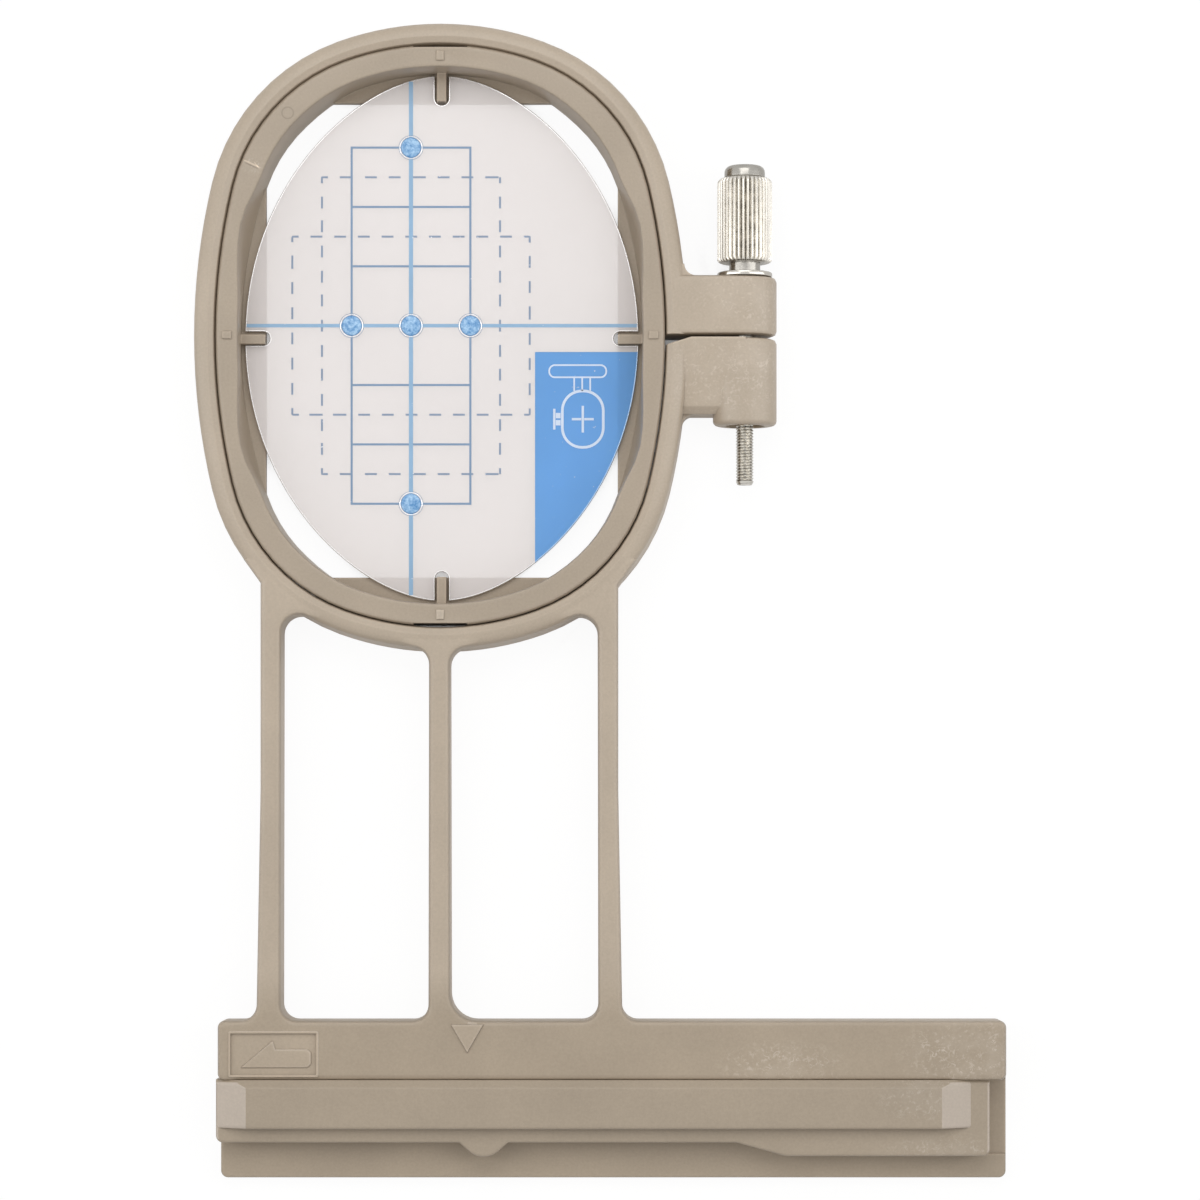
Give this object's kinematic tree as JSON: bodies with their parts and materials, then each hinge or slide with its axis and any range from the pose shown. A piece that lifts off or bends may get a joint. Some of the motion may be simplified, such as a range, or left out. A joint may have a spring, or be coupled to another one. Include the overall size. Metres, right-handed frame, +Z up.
{
  "type": "machine embroidery hoop",
  "caption": "Small oval machine embroidery hoop: split outer ring on arms and a slide-on connector bar, with inner ring, clear template sheet and knurled clamp screw.",
  "frame": {"origin": "on the plane that the hoop lies on, under the middle of its bounding box", "axes": "+Z up out of the ring, +Y from the connector bar to the ring, +X towards the long free end of the bar and the clamp screw"},
  "size_m": [0.1366, 0.1936, 0.011],
  "materials": {
    "moulded_plastic": "fine satin moulded taupe plastic, lightly scuffed",
    "clear_sheet": "clear flexible sheet with blue printed grid lines",
    "nickel_plate": "bright nickel plate, turned and knurled",
    "zinc_steel": "zinc plated",
    "brass": "turned brass"
  },
  "bodies": {
    "frame": {"outer_frame": "moulded_plastic", "guide_rail": "moulded_plastic", "guide_screw_1": "zinc_steel", "guide_screw_2": "zinc_steel", "guide_screw_3": "zinc_steel", "guide_screw_4": "zinc_steel", "clamp_nut": "brass"},
    "inner_ring": {"inner_ring": "moulded_plastic"},
    "template": {"template_sheet": "clear_sheet"},
    "washer": {"thrust_washer": "nickel_plate"},
    "thumbscrew": {"clamp_screw": "nickel_plate", "thumbscrew_grip": "nickel_plate"}
  },
  "joints": [
    {"name": "inner_ring_lift", "type": "slide", "parent": "frame", "child": "inner_ring", "axis": [0, 0, 1], "range_m": [0, 0.012]},
    {"name": "template_lift", "type": "slide", "parent": "inner_ring", "child": "template", "axis": [0, 0, 1], "range_m": [0, 0.01]},
    {"name": "screw_travel", "type": "slide", "parent": "frame", "child": "washer", "axis": [0, 1, 0], "range_m": [0, 0.009]},
    {"name": "thumbscrew_turn", "type": "hinge", "parent": "washer", "child": "thumbscrew", "pos_m": [0.0242, 0.0639, 0.0051], "axis": [0, 1, 0], "range_deg": [0, 6481]}
  ],
  "couplings": [
    {"joint": "thumbscrew_turn", "follows": "screw_travel", "rad_per_m": 12566}
  ]
}
